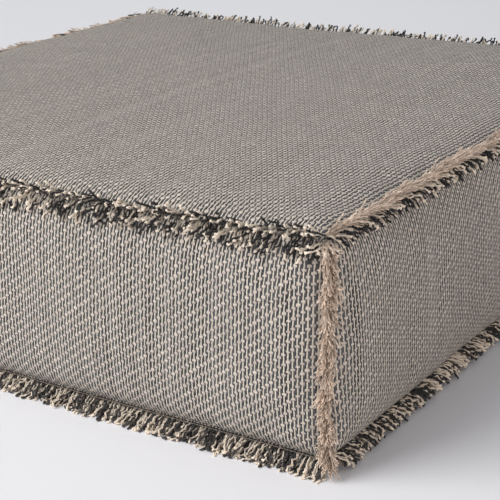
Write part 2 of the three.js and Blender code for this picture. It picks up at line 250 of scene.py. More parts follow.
def puffed(points, numbers):
    """Runs the cloth simulation on the closed cover and returns where its points end up."""
    mesh = bpy.data.meshes.new("cover_swell")
    faces = np.concatenate([numbers[face][quads[face]] for face in FACES])
    mesh.from_pydata(points.tolist(), [], faces.tolist())
    swelling = bpy.data.objects.new("cover_swell", mesh)
    bpy.context.collection.objects.link(swelling)
    seam = np.zeros(len(points), dtype=int)
    for axis in (0, 1):
        seam += np.abs(np.abs(points[:, axis]) - half) < 1e-6
    seam += (np.abs(points[:, 2] - seam_low) < 1e-6) | (np.abs(points[:, 2] - seam_top) < 1e-6)
    pins = swelling.vertex_groups.new(name="seams")
    pins.add(np.flatnonzero(seam >= 2).tolist(), 1.0, "REPLACE")
    cloth_maker = swelling.modifiers.new("swell", "CLOTH")
    settings = cloth_maker.settings
    settings.quality = 5
    settings.mass = 0.6
    settings.tension_stiffness = 25
    settings.compression_stiffness = 25
    settings.shear_stiffness = 12
    settings.bending_stiffness = 2.0
    settings.vertex_group_mass = "seams"
    settings.use_pressure = True
    settings.uniform_pressure_force = PRESSURE
    settings.shrink_min = GROWTH
    settings.effector_weights.gravity = 0
    cloth_maker.point_cache.frame_start = 1
    cloth_maker.point_cache.frame_end = FRAMES
    scene = bpy.context.scene
    for number in range(1, FRAMES + 1):
        scene.frame_set(number)
    shown = swelling.evaluated_get(bpy.context.evaluated_depsgraph_get())
    result = np.empty(len(points) * 3)
    shown.data.vertices.foreach_get("co", result)
    scene.frame_set(1)
    bpy.data.objects.remove(swelling)
    bpy.data.meshes.remove(mesh)
    return result.reshape(-1, 3)


cover, cover_number = cover_points()
moved = puffed(cover, cover_number) - cover
farthest = float(np.abs(moved).max())
print("cover points", len(cover), "moved at most", round(farthest / MM, 1), "mm")

# %% [markdown]
# From the puffed cover each face takes its creases: what is left of its swell once a broad average
# is taken away. The creases are capped, so that nothing leaves the space the pad fills. They die
# out towards the zip, which has to run straight, and there are none on the flat bottom.

# %% Creases of each face
CREASE_CAP = 1.6 * MM
SMOOTH_PASSES = 60
ZIP_CALM = 18 * MM


def broad_average(field):
    """Evens a grid of heights out by repeated averaging with its neighbours."""
    result = field.copy()
    for _ in range(SMOOTH_PASSES):
        framed = np.pad(result, 1, mode="edge")
        ring = framed[:-2, 1:-1] + framed[2:, 1:-1] + framed[1:-1, :-2] + framed[1:-1, 2:]
        result = (result + ring) / 5
    return result


def creases(face):
    """How far each point of a face stands out of its smooth form."""
    across, upward, _, outward = grids[face]
    rise_here = (moved[cover_number[face]] @ outward).reshape(across.shape)
    small = rise_here - broad_average(rise_here)
    small = CREASE_CAP * np.tanh(0.5 * small / CREASE_CAP)
    if face == "back":
        small = small * np.clip((np.abs(upward) - ZIP_CALM) / (20 * MM), 0, 1)
    if face == "bottom":
        small = small * 0
    return small


crease = {face: creases(face) for face in FACES}
print({face: round(float(np.abs(crease[face]).max()) / MM, 2) for face in FACES}, "mm")

# %% [markdown]
# The finished place of a point is its flat place, moved with the seams round it, plus the swell
# and the crease of its face. Seam movement is blended across a face, so the cloth stays joined.

# %% Places on the finished cover
SEAM_PULL_REACH = 0.45 * half
SEAM_END = 50 * MM
CORNER_REACH = 120 * MM
ZIP_FADE = 40 * MM


def seam_shift(points):
    """Moves points of the box with the seams: each level seam's drift fades out over the faces."""
    shift = np.zeros_like(points)
    up_share = np.clip((points[:, 2] - seam_low) / (seam_top - seam_low), 0, 1)
    for side in SIDES:
        along, outward = side_axes(side)
        place = points @ along
        depth = half - points @ outward
        near = np.clip(1 - depth / SEAM_PULL_REACH, 0, 1) ** 2
        ends = np.clip((half - np.abs(place)) / SEAM_END, 0, 1)
        for height, share in ((seam_top, up_share), (seam_low, 1 - up_share)):
            out, rise_here = level_drift(side, height, place)
            weight = near * share
            if side == "back":
                off_zip = np.abs(points[:, 2] - seam_mid) - ZIP_CALM
                weight = weight * np.where(depth > 1e-6, 1, np.clip(off_zip / ZIP_FADE, 0, 1))
            shift += (out * weight)[:, None] * outward
            shift[:, 2] += rise_here * weight * ends
        diagonal = along + outward
        away = np.linalg.norm((points - half * diagonal)[:, :2], axis=1)
        bent = upright_drift(SIDES.index(side), points[:, 2])
        bent = bent * np.clip(1 - away / CORNER_REACH, 0, 1) ** 2
        shift += bent[:, None] * diagonal / math.sqrt(2)
    return shift


def level_seam(side, height, place):
    """Points of a level seam at places along its side."""
    along, outward = side_axes(side)
    place = np.asarray(place, dtype=float)
    points = place[:, None] * along + half * outward
    points[:, 2] = height
    return points + seam_shift(points)


def finished(face):
    """Final points of a face, as a grid."""
    across, upward, points, outward = grids[face]
    if face == "top":
        full = swell(across, upward, half, half, crown, LONG_REACH)
    elif face == "bottom":
        full = (seam_low - 0.2 * MM) * soft(half - np.abs(across), BOTTOM_REACH)
        full = full * soft(half - np.abs(upward), BOTTOM_REACH)
    else:
        full = swell(across, upward, half, rise, bulge + EXTRA_SWELL[face], SIDE_REACH)
    flat = points.reshape(-1, 3)
    if face != "bottom":
        full = full + crease[face]
    result = flat + seam_shift(flat) + full.reshape(-1, 1) * outward
    return result.reshape(points.shape)


front_middle = level_seam("front", seam_top, [0.0])[0]
print("the top seam sags", round((seam_top - front_middle[2]) / MM, 1), "mm at the front")

# %% [markdown]
# Patterns of nodes read like formulas if a small helper adds the nodes. It takes sockets or plain
# numbers and gives back the result's socket.

# %% A helper for node patterns


class Pattern:
    """A material's node tree, with one short call for each step of a pattern."""

    def __init__(self, name):
        self.material = bpy.data.materials.new(name)
        self.material.use_nodes = True
        self.tree = self.material.node_tree
        self.shader = self.tree.nodes["Principled BSDF"]

    def add(self, kind, **settings):
        node = self.tree.nodes.new(kind)
        for key, value in settings.items():
            setattr(node, key, value)
        return node

    def plug(self, value, socket):
        if isinstance(value, bpy.types.NodeSocket):
            self.tree.links.new(value, socket)
        else:
            socket.default_value = value

    def math(self, operation, *values, clamp=False):
        node = self.add("ShaderNodeMath", operation=operation, use_clamp=clamp)
        for value, socket in zip(values, node.inputs):
            self.plug(value, socket)
        return node.outputs[0]

    def times(self, first, second):
        return self.math("MULTIPLY", first, second)

    def plus(self, first, second):
        return self.math("ADD", first, second)

    def scaled(self, value, factor, more):
        """A value times a factor, plus something more."""
        return self.math("MULTIPLY_ADD", value, factor, more)

    def dome(self, distance):
        """A round height, 1 where a squared distance is 0, and 0 from 1 on."""
        return self.math("SQRT", self.math("SUBTRACT", 1.0, distance, clamp=True))

    def inside(self, distance, near, far):
        """1 up to near, 0 from far on, and smooth between."""
        return self.math("SUBTRACT", 1.0, self.step(distance, near, far))

    def step(self, value, low, high):
        """Rises smoothly from 0 at low to 1 at high."""
        node = self.add("ShaderNodeMapRange", interpolation_type="SMOOTHSTEP")
        for item, socket in zip((value, low, high, 0.0, 1.0), node.inputs):
            self.plug(item, socket)
        return node.outputs["Result"]

    def mix(self, factor, first, second, blend="MIX"):
        node = self.add("ShaderNodeMix", data_type="RGBA", blend_type=blend)
        self.plug(factor, node.inputs["Factor"])
        self.plug(first, node.inputs["A"])
        self.plug(second, node.inputs["B"])
        return node.outputs["Result"]

    def darkened(self, colour, shade):
        """A colour times a plain number."""
        return self.mix(1.0, colour, self.vector(shade, shade, shade), "MULTIPLY")

    def noise(self, vector, scale, detail=2.0, roughness=0.5):
        node = self.add("ShaderNodeTexNoise")
        self.plug(vector, node.inputs["Vector"])
        self.plug(scale, node.inputs["Scale"])
        self.plug(detail, node.inputs["Detail"])
        self.plug(roughness, node.inputs["Roughness"])
        return node.outputs["Fac"]

    def chance(self, *values):
        """A random number from 0 to 1 that stays the same for the same values."""
        node = self.add("ShaderNodeTexWhiteNoise", noise_dimensions="3D")
        self.plug(self.vector(*values), node.inputs["Vector"])
        return node.outputs["Value"]

    def vector(self, x=0.0, y=0.0, z=0.0):
        node = self.add("ShaderNodeCombineXYZ")
        for value, socket in zip((x, y, z), node.inputs):
            self.plug(value, socket)
        return node.outputs[0]

    def split(self, vector):
        node = self.add("ShaderNodeSeparateXYZ")
        self.plug(vector, node.inputs[0])
        return node.outputs[0], node.outputs[1], node.outputs[2]

    def uv(self):
        return self.add("ShaderNodeTexCoord").outputs["UV"]

    def place(self):
        return self.add("ShaderNodeTexCoord").outputs["Object"]

    def finish(self, colour, height=None, relief=0.0, roughness=0.9, sheen=0.0, metallic=0.0):
        self.plug(colour, self.shader.inputs["Base Color"])
        self.plug(roughness, self.shader.inputs["Roughness"])
        self.shader.inputs["Metallic"].default_value = metallic
        self.shader.inputs["Sheen Weight"].default_value = sheen
        if height is not None:
            bump = self.add("ShaderNodeBump")
            bump.inputs["Distance"].default_value = relief
            self.plug(height, bump.inputs["Height"])
            self.plug(bump.outputs["Normal"], self.shader.inputs["Normal"])
        return self.material


def colour(red, green, blue):
    """A colour given as it shows on a screen, from 0 to 255, made linear for the shader."""
    values = [channel / 255 for channel in (red, green, blue)]
    linear = [v / 12.92 if v <= 0.04045 else ((v + 0.055) / 1.055) ** 2.4 for v in values]
    return (*linear, 1.0)


print("mid grey is", round(colour(128, 128, 128)[0], 3), "to the shader")

# %% [markdown]
# The cover cloth has a warp of cream and charcoal yarns in turn, and a thick pale weft. The weft
# shows only where it crosses over a cream yarn, as a bead every third pick, and each cream yarn's
# beads sit a third of a repeat higher than its neighbour's. Charcoal yarns bend round the beads.
# UVs are in metres on the cloth, so the pitches are real sizes. The half sizes of the yarns are in
# millimetres, and so is how ragged their edges are.

# %% The woven cloth
WARP_PITCH = 2.98 * MM
BEAD_PITCH = 6.98 * MM
LINE_HALF = 0.5
BEAD_WIDE, BEAD_TALL = 1.95, 1.1
BEAD_SQUARE = 2.4
DARK_PLACE, DARK_HALF = 1.52, 0.95
RAGGED = 1.2


def woven_cloth():
    p = Pattern("woven_cloth")

    # Which column and pick a point is on, and how far it is from the middle of each.
    across, upward, _ = p.split(p.uv())
    drag = p.scaled(p.noise(p.uv(), 7.0, 1.0), 1.6, -0.8)
    shake = p.scaled(p.noise(p.uv(), 220.0, 1.0), 0.3, -0.15)
    column_place = p.plus(p.math("DIVIDE", across, WARP_PITCH), p.plus(drag, shake))
    column = p.math("ROUND", column_place)
    offset = p.math("SUBTRACT", column_place, column)
    luck = p.chance(column, 0.0, 7.0)
    lift = p.scaled(column, -1 / 3, p.times(luck, 0.12))
    rank_place = p.plus(p.math("DIVIDE", upward, BEAD_PITCH), lift)
    rank = p.math("ROUND", rank_place)
    phase = p.math("SUBTRACT", rank_place, rank)
    sway = p.times(p.math("SINE", p.times(phase, 2 * math.pi)), 0.022)
    beside = p.times(p.plus(offset, sway), WARP_PITCH / MM)
    beyond = p.times(phase, BEAD_PITCH / MM)
    ragged = p.scaled(p.noise(p.uv(), 750.0, 1.0), 2 * RAGGED, -RAGGED)
    frayed = p.scaled(p.noise(p.vector(upward, across), 750.0, 1.0), 2 * RAGGED, -RAGGED)

    # The cream line, the bead and the charcoal yarn, each 0 in its middle and 1 at its edge.
    size = p.scaled(p.chance(column, rank, 1.0), 0.3, 0.85)
    slim = p.scaled(frayed, 0.35, LINE_HALF)
    line = p.math("POWER", p.math("DIVIDE", beside, slim), 2.0)
    wide = p.math("DIVIDE", p.plus(beside, ragged), p.times(size, BEAD_WIDE))
    tall = p.math("DIVIDE", p.plus(beyond, frayed), p.times(size, BEAD_TALL))
    wide = p.math("POWER", p.math("ABSOLUTE", wide), BEAD_SQUARE)
    tall = p.math("POWER", p.math("ABSOLUTE", tall), BEAD_SQUARE)
    bead = p.plus(wide, tall)
    from_dark = p.math("SUBTRACT", DARK_PLACE, p.math("ABSOLUTE", beside))
    dark = p.math("POWER", p.math("DIVIDE", from_dark, DARK_HALF), 2.0)

    # How high each of them stands, and whether a pale one is on top.
    line_high = p.times(p.dome(line), 0.52)
    bead_high = p.dome(bead)
    dark_high = p.times(p.dome(dark), 0.5)
    pale_high = p.math("MAXIMUM", line_high, bead_high)
    height = p.math("MAXIMUM", pale_high, dark_high)
    is_line = p.inside(line, 0.7, 1.15)
    is_bead = p.inside(bead, 0.75, 1.1)
    is_pale = p.math("MAXIMUM", is_line, is_bead)

    # Their colours, which differ a little from yarn to yarn.
    fibres = p.noise(p.vector(p.times(beside, 3.0), upward, rank), 900.0, 2.0)
    cream_luck = p.scaled(p.chance(column, 3.0, 3.0), 0.16, 0.9)
    cream = p.darkened(colour(243, 232, 215), cream_luck)
    weft = p.mix(p.chance(column, rank, 5.0), colour(191, 178, 167), colour(217, 205, 193))
    pale = p.mix(is_bead, cream, weft)
    charcoal = p.mix(p.chance(column, 1.0, 9.0), colour(40, 40, 44), colour(99, 98, 100))
    yarn = p.mix(is_pale, charcoal, pale)

    # Hollows between the yarns get painted shade, fibres are grained, and the whole cloth is a
    # little cloudy.
    hollow = p.scaled(height, 0.55, 0.52)
    grain = p.scaled(fibres, 0.5, 0.76)
    cloud = p.scaled(p.noise(p.uv(), 14.0, 3.0), 0.16, 0.94)
    shade = p.times(p.times(hollow, grain), cloud)
    shaded = p.darkened(yarn, shade)
    fuzzy = p.scaled(fibres, 0.12, height)
    return p.finish(shaded, fuzzy, 0.85 * MM, roughness=0.92, sheen=0.12)


cover_cloth = woven_cloth()
print("weave nodes", len(cover_cloth.node_tree.nodes))

# %% [markdown]
# Each cloth of the cover is a grid of its finished points, given the thickness of cloth inward by
# a Solidify modifier, and smoothed by one level of subdivision. Its UV map is the flat cloth in
# metres. Two cloths were cut a little off their grain.

# %% Make the cloths
ZIP_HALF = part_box("zip_coil_upper")[1].x - 0.3 * MM
SLOT_HALF = 5.5 * MM
OFF_GRAIN = {"right": 0.068, "front": -0.02}


def deselect_all():
    for item in bpy.context.selected_objects:
        item.select_set(False)


def new_piece(name, mesh, body=ROOT):
    piece = bpy.data.objects.new(name, mesh)
    bpy.context.collection.objects.link(piece)
    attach(piece, body)
    return piece


def apply_modifiers(piece):
    deselect_all()
    bpy.context.view_layer.objects.active = piece
    piece.select_set(True)
    for modifier in list(piece.modifiers):
        bpy.ops.object.modifier_apply(modifier=modifier.name)


def opened(places, flat, rim, toward):
    """Turns the rim row of a back cloth away from the zip, so that a slot is left between them."""
    reach = np.abs(flat[:, 0, 0])
    within = np.flatnonzero(reach < ZIP_HALF)
    for column, beyond in ((within[0], within[0] - 1), (within[-1], within[-1] + 1)):
        share = (ZIP_HALF - reach[column]) / (reach[beyond] - reach[column])
        places[column] += share * (places[beyond] - places[column])
        flat[column] += share * (flat[beyond] - flat[column])
    inside = (reach < ZIP_HALF).astype(float)
    for row, part in ((rim, 1.0), (rim + toward, 0.35)):
        places[:, row, 2] += toward * part * SLOT_HALF * inside
        flat[:, row, 1] += toward * part * SLOT_HALF * inside


def cloth_piece(name, face, rows=slice(None), node=None, toward=0):
    """A cover cloth over some rows of a face's grid. Toward says which way its zip edge turns."""
    across, upward, _, _ = grids[face]
    places = finished(face)[:, rows]
    skewed = across + OFF_GRAIN.get(face, 0) * upward
    flat = np.stack([skewed[:, rows], upward[:, rows]], axis=-1)
    if toward:
        opened(places, flat, 0 if toward > 0 else places.shape[1] - 1, toward)
    corners = grid_quads(*places.shape[:2], face == "bottom")
    mesh = bpy.data.meshes.new(name)
    mesh.from_pydata(places.reshape(-1, 3).tolist(), [], corners.tolist())
    layer = mesh.uv_layers.new(name="cloth")
    layer.data.foreach_set("uv", flat.reshape(-1, 2)[corners.ravel()].ravel())
    mesh.polygons.foreach_set("use_smooth", [True] * len(corners))
    mesh.materials.append(cover_cloth)
    piece = new_piece(name, mesh)
    thick = piece.modifiers.new("thickness", "SOLIDIFY")
    thick.thickness = cloth
    thick.offset = -1
    fine = piece.modifiers.new("fine", "SUBSURF")
    fine.levels = 1
    fine.render_levels = 1
    fine.boundary_smooth = "PRESERVE_CORNERS"
    apply_modifiers(piece)
    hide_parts(node or f"{face}_panel")
    print(name, "has", len(piece.data.polygons), "faces")


for face in ("top", "bottom", "front", "right", "left"):
    cloth_piece(f"{face}_cloth", face)
zip_row = CELLS_HIGH // 2
cloth_piece("back_cloth_lower", "back", slice(0, zip_row + 1), "back_panel_lower", -1)
cloth_piece("back_cloth_upper", "back", slice(zip_row, None), "back_panel_upper", 1)

# %% [markdown]
# A frayed yarn end is a thin twisted cord. One short cord is modelled from a cylinder primitive:
# its upright edges are subdivided into rings and its tip is widened or drawn in. Every yarn of
# every fringe is such a cord, copied and laid along its own path, so it has few faces.

# %% Model one cord


def short_cord(rings, sides, tip):
    """Corner places of a cord of radius 1 and length 1 along Z, and its faces."""
    deselect_all()
    bpy.ops.mesh.primitive_cylinder_add(
        vertices=sides, radius=1, depth=1, location=(0, 0, 0.5), end_fill_type="TRIFAN"
    )
    cord = bpy.context.object
    bpy.ops.object.transform_apply(location=True)
    bpy.ops.object.mode_set(mode="EDIT")
    shape = bmesh.from_edit_mesh(cord.data)
    for edge in shape.edges:
        low, high = (corner.co for corner in edge.verts)
        edge.select_set(abs(low.z - high.z) > 0.5)
    bpy.ops.mesh.subdivide(number_cuts=rings - 2)
    shape = bmesh.from_edit_mesh(cord.data)
    for corner in shape.verts:
        corner.select_set(corner.co.z > 0.999)
    shape.select_flush_mode()
    bpy.ops.transform.resize(value=(tip, tip, 1))
    bpy.ops.object.mode_set(mode="OBJECT")
    corners = np.array([corner.co for corner in cord.data.vertices])
    faces = [tuple(face.vertices) for face in cord.data.polygons]
    bpy.data.objects.remove(cord)
    return corners, faces


WARP_RINGS, WEFT_RINGS = 7, 12
WARP_CORD = short_cord(WARP_RINGS, sides=4, tip=1.25)
WEFT_CORD = short_cord(WEFT_RINGS, sides=3, tip=0.6)
print("a warp cord has", len(WARP_CORD[1]), "faces, a weft cord", len(WEFT_CORD[1]))

# %% [markdown]
# A cord is laid on a path by giving each of its rings a place and two directions across the path.
# All the yarns of a fringe are laid at once with arrays. Each keeps its own colour. Each point
# also keeps where on the yarn's skin it lies, so that the material can draw the twist.

# %% Lay cords on paths


def unit(vectors):
    return vectors / (np.linalg.norm(vectors, axis=-1, keepdims=True) + 1e-12)


def across_path(paths):
    """Two unit vectors across each path at each of its points."""
    forward = unit(np.gradient(paths, axis=1))
    first = unit(np.cross(forward, np.array([0.31, 0.47, 0.83])))
    return first, np.cross(forward, first)


def length_run(paths):
    """How far along its path each point is."""
    steps = np.linalg.norm(np.diff(paths, axis=1), axis=-1)
    return np.concatenate([np.zeros((len(paths), 1)), np.cumsum(steps, axis=1)], axis=1)


def laid_cords(name, cord, paths, radius, tones, material):
    """One mesh of many cords. Paths are (cord, ring, 3). Each cord has a radius and a tone."""
    corners, faces = cord
    count, rings = paths.shape[:2]
    ring = np.rint(corners[:, 2] * (rings - 1)).astype(int)
    first, second = across_path(paths)
    thick = np.asarray(radius)[:, None, None]
    side = first[:, ring] * corners[None, :, :1] + second[:, ring] * corners[None, :, 1:2]
    places = paths[:, ring] + thick * side
    skin = np.empty((count, len(corners), 3))
    skin[..., :2] = corners[None, :, :2]
    skin[..., 2] = length_run(paths)[:, ring] / MM

    sizes = np.array([len(face) for face in faces])
    loops = np.concatenate([np.array(face) for face in faces])
    loops = (loops[None] + np.arange(count)[:, None] * len(corners)).ravel()
    starts = np.concatenate([[0], np.cumsum(np.tile(sizes, count))[:-1]])
    mesh = bpy.data.meshes.new(name)
    mesh.vertices.add(count * len(corners))
    mesh.vertices.foreach_set("co", places.ravel())
    mesh.loops.add(len(loops))
    mesh.loops.foreach_set("vertex_index", loops)
    mesh.polygons.add(len(starts))
    mesh.polygons.foreach_set("loop_start", starts)
    mesh.polygons.foreach_set("use_smooth", [True] * len(starts))
    mesh.update(calc_edges=True)
    mesh.validate()
    tone = mesh.attributes.new("yarn_tone", "FLOAT_COLOR", "POINT")
    shown = np.repeat(np.asarray(tones)[:, None], len(corners), axis=1)
    shown[..., 3] = corners[None, :, 2]
    tone.data.foreach_set("color", shown.ravel())
    around = mesh.attributes.new("yarn_skin", "FLOAT_VECTOR", "POINT")
    around.data.foreach_set("vector", skin.ravel())
    mesh.materials.append(material)
    return mesh


def corded_piece(name, cord, paths, radius, tones, material, slot, *nodes):
    """A piece of many cords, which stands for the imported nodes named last."""
    piece = new_piece(name, laid_cords(name, cord, paths, radius, tones, material))
    if nodes:
        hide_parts(*nodes)
    print(name, len(paths), "cords", len(piece.data.polygons), "faces")


def frayed_yarn(name, turns, pitch, relief, sheen):
    """A soft twisted yarn in each cord's own tone, with painted shade in its grooves and at its root
    and painted light at its tip.
    """
    p = Pattern(name)
    marked = p.add("ShaderNodeAttribute", attribute_name="yarn_tone")
    tone, share = marked.outputs["Color"], marked.outputs["Alpha"]
    skin = p.add("ShaderNodeAttribute", attribute_name="yarn_skin").outputs["Vector"]
    x, y, run = p.split(skin)
    angle = p.math("ARCTAN2", y, x)
    winding = p.scaled(run, 2 * math.pi / pitch, p.times(angle, turns))
    groove = p.scaled(p.math("SINE", winding), 0.5, 0.5)
    fibre = p.noise(p.place(), 2600.0, 2.0)
    # Painted shade in the twist's grooves and near the root, and painted light at the cut tip.
    shade = p.scaled(groove, 0.26, 0.74)
    shade = p.times(shade, p.scaled(fibre, 0.36, 0.84))
    painted_root_shade = p.scaled(p.step(run, 0.0, 4.0), 0.35, 0.65)
    painted_tip_light = p.scaled(p.step(share, 0.7, 1.0), 0.3, 0.92)
    shade = p.times(shade, p.times(painted_root_shade, painted_tip_light))
    shaded = p.darkened(tone, shade)
    height = p.scaled(fibre, 0.5, groove)
    return p.finish(shaded, height, relief, roughness=0.95, sheen=sheen)


warp_yarn = frayed_yarn("frayed_warp_yarn", 2.0, 2.4, 0.15 * MM, 0.1)
weft_yarn = frayed_yarn("frayed_weft_yarn", 1.0, 1.6, 0.1 * MM, 0.2)

# %% [markdown]
# A yarn's path starts at its seam with a heading and a length. Along the way it is drawn towards a
# second heading, by its weight or by how it was brushed. It keeps a little of the wave that the
# weave pressed into it. Neighbours lean together, which makes tufts.

# %% Paths for yarn ends
FLOOR_GAP = 0.4 * MM


def turned_up(side, sideways, degrees):
    """Unit vectors outward from a side, leaning along it by sideways and raised by an angle."""
    along, outward = side_axes(side)
    turn = np.radians(degrees)[:, None]
    level_part = unit(outward + sideways[:, None] * along)
    return level_part * np.cos(turn) + np.array([0, 0, 1.0]) * np.sin(turn)


def tufts(place, seed, widths=(0.007, 0.015, 0.034)):
    """Leans that neighbours share, about -1 to 1."""
    rng = np.random.default_rng(seed)
    total = np.zeros_like(place)
    for width in widths:
        total += np.sin(2 * np.pi * (place / width + rng.random()))
    return total / len(widths)


def grown(roots, first, last, lengths, rings, crimp, crimp_length, rng):
    """Paths that leave their roots along first and turn to last, with a fading crimp."""
    share = np.linspace(0, 1, rings)[None, :, None]
    turn = share**0.8
    heading = unit(first[:, None] * (1 - turn) + last[:, None] * turn)
    step = (lengths / (rings - 1))[:, None, None]
    paths = roots[:, None] + np.concatenate(
        [np.zeros((len(roots), 1, 3)), np.cumsum(heading[:, 1:] * step, axis=1)], axis=1
    )
    one, two = across_path(paths)
    phase = rng.random(len(roots))[:, None] * 2 * np.pi
    wave = share[..., 0] * lengths[:, None] / crimp_length * 2 * np.pi + phase
    twist = rng.random(len(roots))[:, None, None] * 2 * np.pi
    sideways = one * np.cos(twist) + two * np.sin(twist)
    paths += (crimp * np.sin(wave) * np.minimum(1, share[..., 0] * 4))[..., None] * sideways
    return paths


def even_places(low, high, pitch):
    """The middles of as many whole pitches as go between low and high."""
    count = int((high - low) / pitch)
    return low + (np.arange(count) + 0.5) / count * (high - low)


def kept_up(paths, radius):
    """Keeps paths above the floor: what would sink lies on it."""
    paths[..., 2] = np.maximum(paths[..., 2], FLOOR_GAP + radius)
    return paths


def plied(paths, plies, orbit, pitch, spread, rng):
    """Splits each path into strands that wind round it and come apart at the tip."""
    one, two = across_path(paths)
    share = np.linspace(0, 1, paths.shape[1])
    run = length_run(paths)
    start = rng.random(len(paths))[:, None]
    strands = []
    for ply in range(plies):
        angle = 2 * np.pi * (start + ply / plies + run / pitch)
        reach = orbit * (1 + spread * share**3)
        swing = one * np.cos(angle)[..., None] + two * np.sin(angle)[..., None]
        strands.append(paths + swing * reach[None, :, None])
    return np.stack(strands, axis=1).reshape(-1, *paths.shape[1:])


def tone_of(base, spread, rng, count):
    """One colour a cord, lighter or darker by chance."""
    shades = 1 + spread * rng.uniform(-1, 1, (count, 1))
    tones = np.ones((count, 4))
    tones[:, :3] = np.array(base[:3]) * shades
    return tones


WARP_YARN = WARP_PITCH / 2
WEFT_PICK = BEAD_PITCH / 3
CHARCOAL_END = colour(54, 51, 50)
CREAM_END = colour(242, 227, 208)
WEFT_END = colour(226, 204, 184)
print("a side has", int(2 * half / WARP_YARN), "warp ends or", int(2 * half / WEFT_PICK), "picks")

# %% [markdown]
# Where a cloth is cut across its warp, each charcoal or cream yarn ends in the seam. It is thick
# and springy, so the ends stand out, droop a little and come apart at the tip. Each run of fringe
# has its own manner: worn flat on the near edge, flared under it, combed along the right side, and
# splayed or lying on the floor below.

# %% Fringes of warp ends
WARP_STRAND = 0.54 * MM
WARP_CRIMP = 7.0 * MM
WARP_ROOT, WARP_LIFT = 1.6 * MM, 3.0 * MM
PLY_ORBIT = 0.40 * MM
PLY_PITCH = 5.0 * MM


def fringe_names(cut, edge):
    """Names of the fringe of one cloth along one edge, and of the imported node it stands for."""
    return f"{cut}_cloth_{edge}_fringe", f"{cut}_panel_{edge}_fringe"


def warp_fringe(name, node, side, height, seed, angle, droop, length, spread, wave, painted_charcoal_light, brush):
    """Yarn ends along a level seam. Angle is the first heading in degrees above level, droop how
    far it turns, spread how far the yarns' headings differ, wave the height of their crimp, the next
    number how much lighter or darker the charcoal is painted, as painted light or shade for how lit
    the fringe is, and brush how far they lean along the seam."""
    rng = np.random.default_rng(seed)
    place = even_places(-half, half, WARP_YARN)
    count = len(place)
    place += rng.normal(0, 0.25 * MM, count)
    lean = brush + tufts(place, seed + 1) * 0.3 + rng.normal(0, 0.017 * spread, count)
    tilt = tufts(place, seed + 2) * 0.3 * spread + rng.uniform(-spread, spread, count)
    first = turned_up(side, 0.4 * lean, angle + 0.6 * tilt)
    last = turned_up(side, 1.3 * lean, angle + droop + 1.15 * tilt)
    lift = rng.uniform(0.0, WARP_LIFT, count) * (1 if angle > 0 else -1)
    roots = level_seam(side, height, place) - WARP_ROOT * side_axes(side)[1]
    roots[:, 2] += lift
    lengths = length * rng.uniform(0.8, 1.1, count) * (1 + 0.12 * tufts(place, seed + 3))
    paths = grown(roots, first, last, lengths, WARP_RINGS, wave, WARP_CRIMP, rng)
    cream = (np.arange(count) % 2 == 0) ^ (rng.random(count) < 0.15)
    strands = plied(paths, 2, PLY_ORBIT, PLY_PITCH, 0.7, rng)
    radius = WARP_STRAND * rng.uniform(0.85, 1.15, len(strands))
    strands = kept_up(strands, radius[:, None])
    # Painted light or shade: each fringe's charcoal is made lighter or darker for how lit that
    # fringe is.
    tones = tone_of(CHARCOAL_END, 0.3, rng, len(strands)) * [painted_charcoal_light, painted_charcoal_light, painted_charcoal_light, 1]
    cream_strand = np.repeat(cream, 2)
    tones[cream_strand] = tone_of(CREAM_END, 0.12, rng, int(cream_strand.sum()))
    corded_piece(name, WARP_CORD, strands, radius, tones, warp_yarn, "warp_ends", node)


def manner(angle, droop, length, spread, wave, painted_charcoal_light, brush=0.0):
    """How the ends of one fringe stand, and the painted light or shade on their charcoal, as
    warp_fringe takes it. Length and wave are in mm.
    """
    return angle, droop, length * MM, spread, wave * MM, painted_charcoal_light, brush


# The sixth number is painted light or shade on the charcoal ends: above 1 where a fringe is lit,
# below 1 where it lies in shade.
WORN_FLAT = manner(24, -12, 12.5, 26, 0.75, 0.7)
STANDING = manner(34, -10, 12, 18, 0.75, 0.8)
FLARED = manner(-46, 32, 16, 24, 0.75, 0.75)
UNDER_WEFT = manner(4, -46, 13.5, 24, 0.75, 0.3, 1.0)
SPLAYED = manner(-18, -24, 17, 15, 1.15, 1.9, -0.1)
COMBED = manner(14, -66, 17.5, 8, 1.3, 0.75, 1.3)
ON_FLOOR = manner(-38, -14, 20.5, 15, 1.15, 1.1)

for number, side in enumerate(SIDES):
    seed = 1000 + 100 * number
    above, below = UNDER_WEFT, COMBED
    if side in ("front", "back"):
        above, below = FLARED, SPLAYED
        top_manner = WORN_FLAT if side == "front" else STANDING
        warp_fringe(*fringe_names("top", side), side, seam_top, seed, *top_manner)
        warp_fringe(*fringe_names("bottom", side), side, seam_low, seed + 10, *ON_FLOOR)
    warp_fringe(*fringe_names(side, "top"), side, seam_top, seed + 20, *above)
    warp_fringe(*fringe_names(side, "bottom"), side, seam_low, seed + 30, *below)

# %% [markdown]
# Where a cloth is cut along its warp, the thick weft comes loose. Each pick opens into a bundle of
# fine crimped strands. On the right side they are combed away from the near corner.

# %% Fringes of weft
WEFT_STRAND = 0.44 * MM
WEFT_CRIMP = 4.2 * MM
WEFT_ROOT = 1.4 * MM
WEFT_WAVE = 0.6 * MM
FULL_BUNDLE, THIN_BUNDLE = 8, 6


